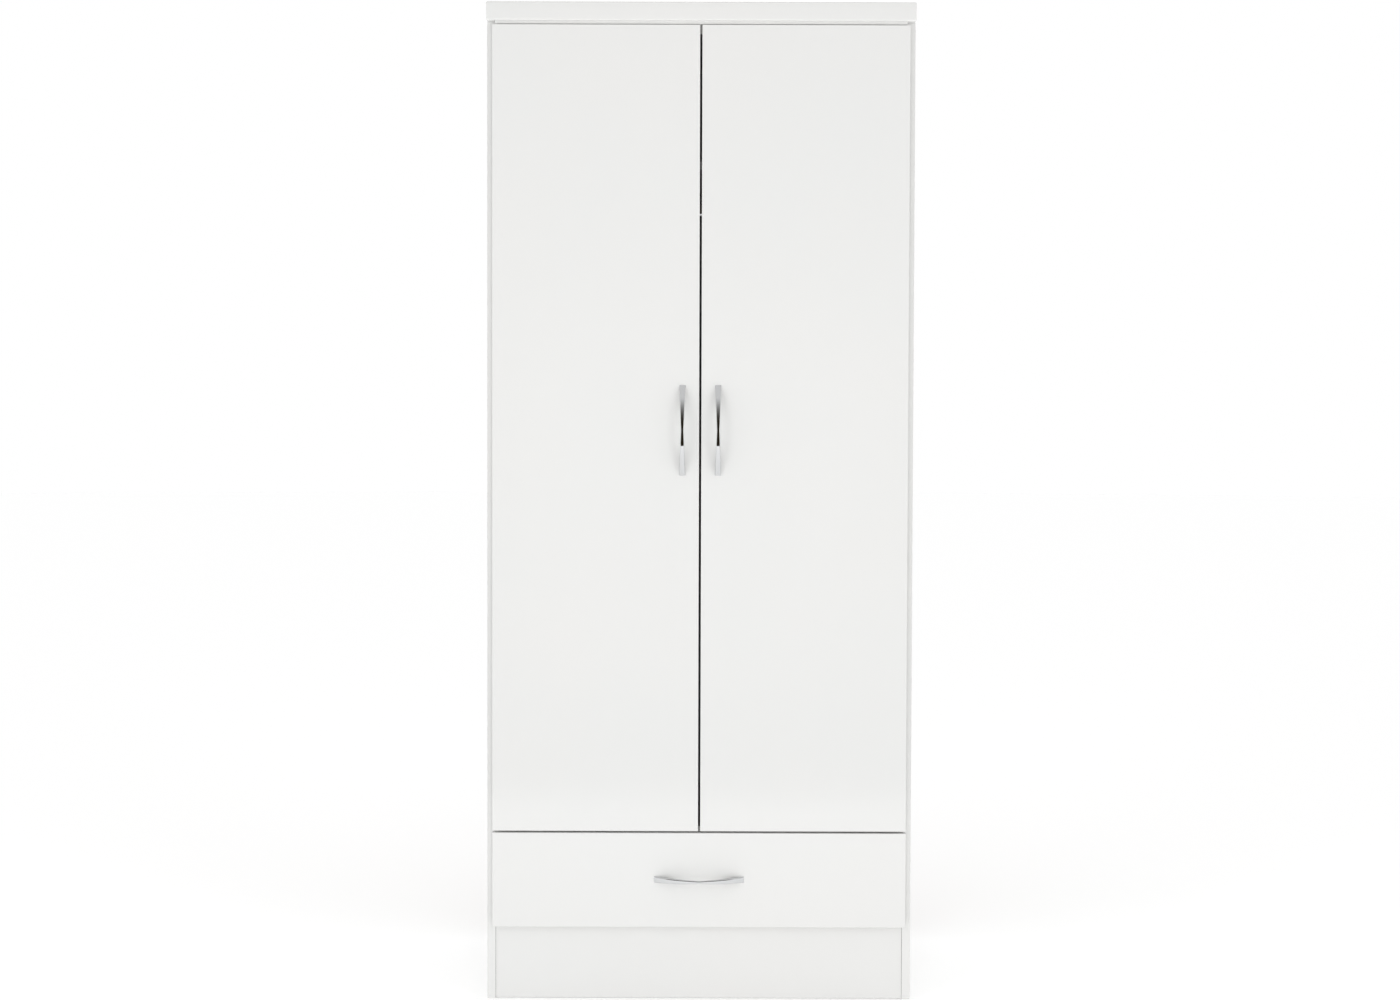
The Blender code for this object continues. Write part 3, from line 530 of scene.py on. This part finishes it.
def silicone():
    """Clear silicone of the bumper pads: soft, milky and slightly tacky."""
    finish, tree, place = new_finish("clear_silicone_rubber")
    dust = add_node(tree, "ShaderNodeTexNoise", Vector=place, Scale=1 / (1.5 * MM), Detail=3.0)
    hazy = add_node(tree, "ShaderNodeMapRange", Value=dust, **USUAL, To_Min=0.22, To_Max=0.4)
    shader = add_node(
        tree,
        "ShaderNodeBsdfPrincipled",
        Base_Color=linear("#DDE0DF"),
        Roughness=hazy,
        IOR=1.41,
        Transmission_Weight=0.5,
    )
    add_node(tree, "ShaderNodeOutputMaterial", Surface=shader)
    return finish


# The studio


def link_object(name, data):
    thing = bpy.data.objects.new(name, data)
    bpy.context.scene.collection.objects.link(thing)
    return thing


def build_camera():
    camera = bpy.data.cameras.new("camera")
    camera.lens = LENS_MM
    camera.sensor_width = SENSOR_MM
    camera.clip_end = VIEW_LIMIT
    stand = link_object("camera", camera)
    stand.location = (0.0, CARCASS_FRONT - CAMERA_DISTANCE, CAMERA_HEIGHT)
    turn = Matrix.Rotation(math.pi / 2 - CAMERA_PITCH, 4, "X") @ Matrix.Rotation(CAMERA_ROLL, 4, "Z")
    stand.rotation_euler = turn.to_euler()
    bpy.context.scene.camera = stand


def build_floor():
    """Plain white matt paper, lit a little from below, wide enough for every view."""
    finish, tree, place = new_finish("white_paper")
    pulp = add_node(tree, "ShaderNodeTexNoise", Vector=place, Scale=1 / (2 * MM))
    bump = add_node(tree, "ShaderNodeBump", Height=pulp, Distance=0.01 * MM)
    paper = add_node(tree, "ShaderNodeBsdfDiffuse", Color=linear("#FFFFFF"), Normal=bump)
    glow = add_node(tree, "ShaderNodeEmission", Color=linear("#FFFFFF"), Strength=FLOOR_GLOW)
    both = add_node(tree, "ShaderNodeAddShader", _0=paper, _1=glow)
    add_node(tree, "ShaderNodeOutputMaterial", Surface=both)
    shape = bmesh.new()
    bmesh.ops.create_circle(shape, cap_ends=True, segments=96, radius=FLOOR_RADIUS)
    mesh = as_mesh(shape, "floor")
    mesh.materials.append(finish)
    link_object("floor", mesh)


def build_surround():
    """A white surround that gives little light from behind the camera."""
    world = bpy.data.worlds.new("white_surround")
    world.use_nodes = True
    tree = world.node_tree
    tree.nodes.clear()
    way = add_node(tree, "ShaderNodeTexCoord").outputs["Generated"]
    way = add_node(tree, "ShaderNodeSeparateXYZ", Vector=way).outputs
    across = add_node(tree, "ShaderNodeMath", {"operation": "ABSOLUTE"}, _0=way["X"])
    ray = add_node(tree, "ShaderNodeLightPath").outputs
    strength = DARK_STRENGTH
    for reading, start, end, most in (
        (across, *DARK_HALF_WIDTH, SURROUND_STRENGTH),
        (way["Z"], *DARK_TOP, SURROUND_STRENGTH),
        (way["Y"], *DARK_DEPTH, SURROUND_STRENGTH),
        (ray["Is Glossy Ray"], 0.0, 1.0, SURROUND_STRENGTH),
        (ray["Is Camera Ray"], 0.0, 1.0, 1.0),
    ):
        strength = add_node(
            tree,
            "ShaderNodeMapRange",
            Value=reading,
            From_Min=start,
            From_Max=end,
            To_Min=strength,
            To_Max=most,
        )
    light = add_node(tree, "ShaderNodeBackground", Color=linear("#FFFFFF"), Strength=strength)
    add_node(tree, "ShaderNodeOutputWorld", Surface=light)
    bpy.context.scene.world = world
    bpy.context.scene.view_settings.view_transform = "Standard"


def hang_light(name, azimuth, distance, height, size, power):
    """A square softbox that faces the wardrobe's middle and doesn't show, not even in the chrome."""
    light = bpy.data.lights.new(name, "AREA")
    light.shape = "SQUARE"
    light.size = size
    light.energy = power
    lamp = link_object(name, light)
    turn = math.radians(azimuth)
    lamp.location = (distance * math.sin(turn), CARCASS_FRONT - distance * math.cos(turn), height)
    aim = Vector((0, CARCASS_FRONT, CAMERA_HEIGHT)) - lamp.location
    lamp.rotation_euler = aim.to_track_quat("-Z", "Y").to_euler()
    lamp.visible_camera = False
    lamp.visible_glossy = False


def build_dark_card():
    """The dark end of the studio behind the softboxes, fading out at the top. It gives the
    chrome its dark line, and nothing else sees it."""
    card = bpy.data.materials.new("dark_cloth")
    card.use_nodes = True
    tree = card.node_tree
    tree.nodes.clear()
    place = add_node(tree, "ShaderNodeTexCoord").outputs["Object"]
    place = add_node(tree, "ShaderNodeSeparateXYZ", Vector=place).outputs
    across = add_node(tree, "ShaderNodeMath", {"operation": "ABSOLUTE"}, _0=place["X"])
    clearness = 0.0
    for reading, (start, end) in ((across, CARD_HALF_WIDTH), (place["Z"], CARD_TOP)):
        clearness = add_node(
            tree,
            "ShaderNodeMapRange",
            {"interpolation_type": "SMOOTHSTEP"},
            Value=reading,
            From_Min=start,
            From_Max=end,
            To_Min=clearness,
            To_Max=1.0,
        )
    cloth = add_node(tree, "ShaderNodeEmission", Color=linear("#30291F"), Strength=1.0)
    clear = add_node(tree, "ShaderNodeBsdfTransparent")
    mix = add_node(tree, "ShaderNodeMixShader", _0=clearness, _1=cloth, _2=clear)
    add_node(tree, "ShaderNodeOutputMaterial", Surface=mix)
    shape = bmesh.new()
    bmesh.ops.create_grid(shape, x_segments=1, y_segments=1, size=1.0)
    bmesh.ops.scale(shape, vec=(CARD_HALF_WIDTH[1], CARD_TOP[1] / 2, 1), verts=shape.verts)
    moved(shape, standing((0, CARCASS_FRONT - CARD_DISTANCE, CARD_TOP[1] / 2), REARWARD))
    mesh = as_mesh(shape, "dark_card")
    mesh.materials.append(card)
    thing = link_object("dark_card", mesh)
    thing.visible_camera = False
    thing.visible_diffuse = False
    thing.visible_shadow = False


# Fittings


def cross_screw(radius, height, shank_radius=0.0, shank_length=0.0, sides=24):
    """A pan-head screw with a cross recess. Its head stands up from Z = 0."""
    profile = [(0, height), (0.45 * radius, 0.96 * height), (0.75 * radius, 0.8 * height)]
    profile += [(0.95 * radius, 0.45 * height), (radius, 0.12 * height), (0.98 * radius, 0)]
    if shank_radius:
        profile += [(shank_radius, 0), (shank_radius, -shank_length)]
    profile.append((0, -shank_length))
    slot = (1.1 * radius, 0.26 * radius, height)
    steps = []
    for angle in (0, math.pi / 2):
        cutter = block(slot, 0.04 * radius, 1)
        turn = Matrix.Rotation(angle, 4, "Z")
        steps.append(("DIFFERENCE", moved(cutter, turn @ Matrix.Translation((0, 0, 0.45 * height)))))
    return worked(turned(profile, sides), steps)


def bow_shape():
    """A bow along Z standing off toward -Y: broad square feet, a slim waist, a flat crowned front."""

    def arc(length, reach, share):
        half = length / 2
        radius = (half**2 + reach**2) / (2 * reach)
        angle = math.asin(half / radius) * share
        return Vector((radius * math.sin(angle), reach - radius + radius * math.cos(angle)))

    shape = bmesh.new()
    bmesh.ops.create_grid(shape, x_segments=HANDLE_SIDES, y_segments=HANDLE_STATIONS, size=1.0)
    for point in shape.verts:
        share = math.sin(math.pi / 2 * point.co.y)
        turn = math.pi * (point.co.x + 1)
        squareness = HANDLE_SQUARENESS - FOOT_SQUARING * abs(share) ** SQUARING_POWER
        ring = (math.cos(turn), math.sin(turn))
        across, through = [math.copysign(abs(part) ** squareness, part) for part in ring]
        outer = arc(HANDLE_LENGTH, HANDLE_REACH, share)
        inner = arc(ARCH_LENGTH, ARCH_REACH, share)
        along, out = (outer + inner) / 2 + (outer - inner) / 2 * through
        spread = min(abs(along) / (HANDLE_LENGTH / 2), 1)
        width = HANDLE_WAIST + HANDLE_SWELL * spread**SWELL_POWER + HANDLE_FLARE * spread**FLARE_POWER
        point.co = (width / 2 * across, -out, along)
    bmesh.ops.remove_doubles(shape, verts=shape.verts, dist=POLE_WELD)
    bmesh.ops.holes_fill(shape, edges=[edge for edge in shape.edges if edge.is_boundary])
    return shape


def build_top(skin):
    """The thick slab with its rounded arrises, and the lip that drops between the sides."""
    low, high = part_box("top_panel")
    slab_low = SIDE_HIGH[2] + GAP
    slab = block((high[0] - low[0], high[1] - low[1], high[2] - slab_low), TOP_ARRIS, 4)
    moved(slab, Matrix.Translation((0, (low[1] + high[1]) / 2, slab_low)))
    lip_front, lip_rear = FACE + LIP_SETBACK, INNER_TOP_HIGH[1]
    lip_height = slab_low - low[2] + LIP_OVERLAP
    lip = block((2 * INNER_TOP_HIGH[0], lip_rear - lip_front, lip_height), BOARD_ARRIS)
    moved(lip, Matrix.Translation((0, (lip_front + lip_rear) / 2, low[2])))
    add_piece("top_board", joined([slab, lip]), "carcass", skin, ["top_panel"])


def fit_handles(skins):
    pull = as_mesh(bow_shape(), "bow")
    screw = cross_screw(4.0 * MM, 2.2 * MM, shank_radius=2.0 * MM, shank_length=21 * MM)
    screw = as_mesh(screw, "screw")
    for body, node, upright in (
        ("left_door", "left_door_handle", True),
        ("right_door", "right_door_handle", True),
        ("drawer", "drawer_handle", False),
    ):
        low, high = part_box(node)
        middle = (low + high) / 2
        turn = Matrix.Identity(4) if upright else Matrix.Rotation(math.pi / 2, 4, "Y")
        shape = bmesh.new()
        shape.from_mesh(pull)
        moved(shape, Matrix.Translation((middle[0], high[1], middle[2])) @ turn)
        add_piece(f"{node}_bow", shape, body, skins["chrome"], [node])
        for end in ("lower", "upper") if upright else ("left", "right"):
            name = f"{node}_screw_{end}"
            low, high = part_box(name)
            place = ((low[0] + high[0]) / 2, FACE_BACK + GAP, (low[2] + high[2]) / 2)
            shape = bmesh.new()
            shape.from_mesh(screw)
            moved(shape, standing(place, REARWARD))
            add_piece(f"{name}_cross", shape, body, skins["steel"], [name])


def build_hinges(skins):
    for side, sign in SIDES.items():
        for number, height in enumerate(HINGE_HEIGHTS, start=1):
            pivot = Matrix.Translation((sign * PIVOT_X, PIVOT_Y, height))
            if sign > 0:
                pivot = pivot @ Matrix.Rotation(math.pi, 4, "Y")
            for part, shape, body in (
                ("cup", cup_shape(), f"{side}_door"),
                ("arm", arm_shape(), "carcass"),
                ("plate", plate_shape(), "carcass"),
            ):
                add_piece(
                    f"hinge_{side}_{number}_{part}",
                    moved(shape, pivot),
                    body,
                    skins["steel"],
                    [f"hinge_{part}_{side}_{number}"],
                )


def cup_shape():
    """Drawn steel cup with two screw ears and its pin, about the pivot, opening to +Y."""
    profile = [(0, -11.5), (14.8, -11.5), (16.6, -10.9), (17.4, -9.5), (17.4, 0.2), (17.5, 0.5)]
    profile += [(17.5, 1.1), (17.1, 1.5), (16.8, 1.5), (16.6, 1.2), (16.6, -8.9), (15.9, -10.1)]
    profile += [(14.4, -10.7), (0, -10.7)]
    bowl = turned(in_mm(profile), 64)
    ears = []
    for way in (1, -1):
        outline = [(-11.5, 12.6, 0), (11.5, 12.6, 0), (7, 26, 5.5), (-7, 26, 5.5)]
        turn = Matrix.Rotation(0 if way > 0 else math.pi, 4, "Z")
        ear = plate(in_mm(outline), 1.2 * MM, 0.3 * MM)
        moved(ear, turn @ Matrix.Translation((0, 0, GAP)))
        bore = rod(16.7 * MM, 5 * MM, 64)
        ears.append(worked(ear, [("DIFFERENCE", bore)]))
    screws = []
    for way in (1, -1):
        screw = cross_screw(3.2 * MM, 1.1 * MM, sides=20)
        screws.append(moved(screw, Matrix.Translation((0, way * 21.6 * MM, 1.5 * MM))))
    face = joined([bowl, *ears, *screws])
    moved(face, standing((CUP_MIDDLE, PIVOT_OUT, 0), REARWARD))
    return joined([face, rod(1.0 * MM, 10.2 * MM, 20)])


def arm_shape():
    """Pressed goose neck from the pin back to a capped arm with its adjusting screws."""
    strip, near, far = 1.1, 11.0, 13.2
    inner, outer = 0.9, 5.6
    outline = [
        (0, -strip, 0),
        (far, -strip, 2.0),
        (far, far, 2.0),
        (outer, far, 0.8),
        (outer, 70.5, 0),
        (inner, 70.5, 0),
        (inner, near, 1.0),
        (near, near, 0.8),
        (near, strip, 0.8),
        (0, strip, 0),
    ]
    neck = plate(in_mm(outline), 10 * MM, 0.35 * MM)
    moved(neck, Matrix.Translation((0, 0, -5 * MM)))
    knuckle = turned(in_mm([(0, -5), (1.6, -5), (1.9, -4.7), (1.9, 4.7), (1.6, 5), (0, 5)]), 24)
    bore = rod(1.3 * MM, 8 * MM, 20)
    arm = worked(neck, [("UNION", knuckle), ("DIFFERENCE", bore)])
    top = 8.0
    cap = block((14 * MM, 55 * MM, (top - 0.8) * MM), 1.6 * MM, 4)
    cap_place = standing((0.8 * MM, 44 * MM, 0), (1, 0, 0), REARWARD)
    parts = [arm, moved(cap, cap_place)]
    for along, radius in ((23, 2.6), (40, 3.4), (60, 3.4)):
        screw = cross_screw(radius * MM, 1.0 * MM, sides=20)
        parts.append(moved(screw, standing((top * MM, along * MM, 0), (1, 0, 0), REARWARD)))
    return joined(parts)


def plate_shape():
    """Winged mounting plate flat on the side panel, with a screw in each wing, about the pivot."""
    back = PIVOT_X - INNER + GAP
    start = CARCASS_FRONT + PLATE_SETBACK - PIVOT_Y
    outline = [
        (-8, 0, 4),
        (8, 0, 4),
        (8, 12, 2),
        (24, 12, 7.9),
        (24, 28, 7.9),
        (8, 28, 2),
        (8, 40, 4),
        (-8, 40, 4),
        (-8, 28, 2),
        (-24, 28, 7.9),
        (-24, 12, 7.9),
        (-8, 12, 2),
    ]
    parts = [plate(in_mm(outline), 2.6 * MM, 0.5 * MM)]
    for way in (1, -1):
        screw = cross_screw(3.6 * MM, 1.5 * MM, sides=20)
        parts.append(moved(screw, Matrix.Translation((way * 16 * MM, 20 * MM, 2.6 * MM))))
    return moved(joined(parts), standing((back, start, 0), (1, 0, 0), REARWARD))


def cam_disc():
    """A die-cast cam set in a board, its rim and cross slot a little proud."""
    profile = [(0, 0.45), (5.6, 0.45), (5.9, 0.2), (6.3, 0.2), (6.6, 0.5), (7.1, 0.5)]
    profile += [(7.4, 0.3), (7.4, 0), (0, 0)]
    body = turned(in_mm(profile), 32)
    steps = []
    for angle in (0, math.pi / 2):
        cutter = block((8.4 * MM, 1.5 * MM, 2 * MM), 0.1 * MM, 1)
        turn = Matrix.Rotation(angle, 4, "Z")
        steps.append(("DIFFERENCE", moved(cutter, turn @ Matrix.Translation((0, 0, 0.12 * MM)))))
    return worked(body, steps)


def build_cams(skins):
    """Cams under the fixed boards, on the side panels below the top and behind the plinth."""
    casting = skins["casting"]
    rows = (CARCASS_FRONT + CAM_END, SHEET_LOW[1] - CAM_END)
    places = []
    for side, sign in SIDES.items():
        for row in rows:
            for low in (INNER_TOP_LOW[2], DIVIDER_LOW[2], BOTTOM_LOW[2]):
                places.append(standing((sign * (INNER - CAM_INSET), row, low), DOWN, REARWARD))
            face = Vector((sign * INNER, row, INNER_TOP_LOW[2] - TOP_CAM_DROP))
            places.append(standing(face, TO_MIDDLE[side]))
        for level in PLINTH_CAM_LEVELS:
            places.append(standing((sign * (INNER - CAM_INSET), PLINTH_REAR, level), REARWARD))
    add_piece("cam_discs", repeated(cam_disc(), places), "carcass", casting)
    places = []
    for side, sign in SIDES.items():
        for level in DRAWER_CAM_LEVELS:
            place = (sign * DRAWER_SIDE_LOW[0], DRAWER_SIDE_LOW[1] + CAM_INSET, level)
            places.append(standing(place, TO_MIDDLE[side]))
    add_piece("drawer_cam_discs", repeated(cam_disc(), places), "drawer", casting)


def build_drawer_screws(skins):
    """Screws through the drawer's sides into its back, and through its runners into its sides."""
    places = []
    back = (DRAWER_BACK_LOW[1] + DRAWER_BACK_HIGH[1]) / 2
    for side, sign in SIDES.items():
        out = -TO_MIDDLE[side]
        for level in DRAWER_BACK_SCREW_LEVELS:
            places.append(standing((sign * DRAWER_SIDE_HIGH[0], back, level), out))
        web = DRAWER_SIDE_HIGH[0] + RUNNER_WEB
        for row in RUNNER_SCREW_ROWS:
            places.append(standing((sign * web, row, RUNNER_TOP - RUNNER_SCREW_DROP), out))
    screw = cross_screw(3.2 * MM, 1.2 * MM, sides=20)
    add_piece("drawer_screws", repeated(screw, places), "drawer", skins["steel"])


def build_back_nails(skins):
    """Round-headed nails that hold the back sheets to the boards."""
    face = SHEET_HIGH[1]
    edge = SHEET_HIGH[0] - NAIL_INSET
    low, high = SHEET_LOW[2] + NAIL_END, SHEET_HIGH[2] - NAIL_END
    spots = []
    for index in range(NAIL_SPACES + 1):
        level = low + (high - low) * index / NAIL_SPACES
        spots += [(-edge, level), (edge, level)]
    for level in (low, (DIVIDER_LOW[2] + DIVIDER_HIGH[2]) / 2, high):
        for sign in SIDES.values():
            spots += [(sign * (edge - NAIL_STEP * step), level) for step in (1, 2, 3)]
        spots += [(sign * NAIL_FROM_MIDDLE, level) for sign in SIDES.values()]
    nail = turned(in_mm([(0, 0.7), (0.9, 0.6), (1.6, 0.3), (1.8, 0), (0, 0)]), 12)
    places = [standing((x, face, z), REARWARD) for x, z in spots]
    add_piece("back_nails", repeated(nail, places), "carcass", skins["steel"])


def build_plinth_blocks(skins):
    """Moulded corner blocks that hold the plinth to the side panels, with a screw in each."""
    steel = skins["steel"]
    outline = in_mm([(0, 0, 0), (26, 0, 1), (26, 9, 3), (9, 26, 3), (0, 26, 1)])
    blocks, screws = [], []
    for side, sign in SIDES.items():
        for level in PLINTH_BLOCK_LEVELS:
            corner = Vector((sign * (INNER - GAP), PLINTH_REAR + GAP, level))
            body = plate(outline, PLINTH_BLOCK_HEIGHT, 0.8 * MM)
            if sign > 0:
                moved(body, Matrix.Diagonal((-1, 1, 1, 1)))
            blocks.append(moved(body, Matrix.Translation(corner)))
            middle = corner + Vector((-sign * 17.5 * MM, 17.5 * MM, PLINTH_BLOCK_HEIGHT / 2))
            slope = Vector((-sign, 1, 0)).normalized()
            screws.append(standing(middle - slope * 0.2 * MM, slope))
    add_piece("plinth_blocks", joined(blocks), "carcass", skins["nylon"])
    screw = cross_screw(3.4 * MM, 1.4 * MM, sides=20)
    add_piece("plinth_block_screws", repeated(screw, screws), "carcass", steel)


def build_bumpers(skins):
    """Small domed pads behind the doors' free corners."""
    pad = as_mesh(turned(in_mm([(0, 2.4), (1.2, 2.3), (2.1, 1.8), (2.6, 0.9), (2.6, 0), (0, 0)]), 24))
    for side, sign in SIDES.items():
        places = []
        for level in (DIVIDER_HIGH[2] - BUMPER_BELOW, INNER_TOP_LOW[2] + BUMPER_ABOVE):
            places.append(standing((sign * BUMPER_IN, FACE_BACK, level), REARWARD))
        shape = bmesh.new()
        shape.from_mesh(pad)
        add_piece(
            f"{side}_door_bumpers", repeated(shape, places), f"{side}_door", skins["silicone"]
        )


def build_rail_flanges(skins):
    """Screwed flanges behind the rail's end cups."""
    for side, sign in SIDES.items():
        low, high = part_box(f"rail_socket_{side}")
        middle = (low + high) / 2
        wall = Vector((sign * (INNER - 0.4 * MM), middle[1], middle[2]))
        outline = [(-8, -31, 7.9), (8, -31, 7.9), (8, 31, 7.9), (-8, 31, 7.9)]
        parts = [plate(in_mm(outline), 1.8 * MM, 0.4 * MM)]
        for way in (1, -1):
            screw = cross_screw(3.4 * MM, 1.4 * MM, sides=20)
            parts.append(moved(screw, Matrix.Translation((0, way * 24 * MM, 1.8 * MM))))
        shape = moved(joined(parts), standing(wall, TO_MIDDLE[side]))
        add_piece(f"rail_flange_{side}", shape, "carcass", skins["chrome"])


# Building

build_camera()
build_floor()
build_surround()
build_dark_card()
hang_light("fill", 0, FILL_DISTANCE, FILL_HEIGHT, FILL_SIZE, FILL_POWER)
for side, sign in SIDES.items():
    azimuth = sign * SOFTBOX_AZIMUTH
    hang_light(f"softbox_{side}", azimuth, SOFTBOX_DISTANCE, SOFTBOX_HEIGHT, SOFTBOX_SIZE, SOFTBOX_POWER)

board_gloss = gloss_foil("gloss_white_foil_on_board", False)
front_gloss = gloss_foil("gloss_white_foil_on_fronts", True)
board_satin = melamine()
SKINS = {
    "steel": zinc_steel(),
    "casting": zinc_casting(),
    "chrome": chrome(),
    "nylon": nylon(),
    "silicone": silicone(),
}
SLOT_SKINS = {
    "white_gloss_board": board_satin,
    "white_hardboard": hardboard("lacquered_hardboard_back", "Y", SHEET_LOW[1] + HALF_SHEET, True),
    "white_plastic_strip": pvc_strip(),
    "polished_chrome": SKINS["chrome"],
    "bright_zinc_steel": SKINS["steel"],
    "white_nylon": SKINS["nylon"],
}
NODE_SKINS = {
    "drawer_base": hardboard("lacquered_hardboard_base", "Z", DRAWER_BASE_LOW[2] + HALF_SHEET, False),
    **{name: front_gloss for name in ("left_door_panel", "right_door_panel", "drawer_front")},
    **{name: board_gloss for name in ("left_side_panel", "right_side_panel", "top_panel", "plinth")},
}
for row in frame["record"]["subparts"]:
    node = frame["nodes"][row["node"]]
    node.data.materials.clear()
    node.data.materials.append(NODE_SKINS.get(row["node"], SLOT_SKINS[row["material_slot"]]))

for name in ("left_door_panel", "right_door_panel", "drawer_front", "plinth"):
    soften(name, FRONT_ARRIS)
for name in (
    "left_side_panel",
    "right_side_panel",
    "inner_top_panel",
    "divider_panel",
    "bottom_panel",
    "hat_shelf",
    "drawer_side_left",
    "drawer_side_right",
    "drawer_back",
):
    soften(name, BOARD_ARRIS)
for side in SIDES:
    soften(f"cabinet_runner_{side}", STEEL_ARRIS)
    soften(f"drawer_runner_{side}", STEEL_ARRIS)

build_top(board_gloss)
fit_handles(SKINS)
build_hinges(SKINS)
build_cams(SKINS)
build_drawer_screws(SKINS)
build_back_nails(SKINS)
build_plinth_blocks(SKINS)
build_bumpers(SKINS)
build_rail_flanges(SKINS)
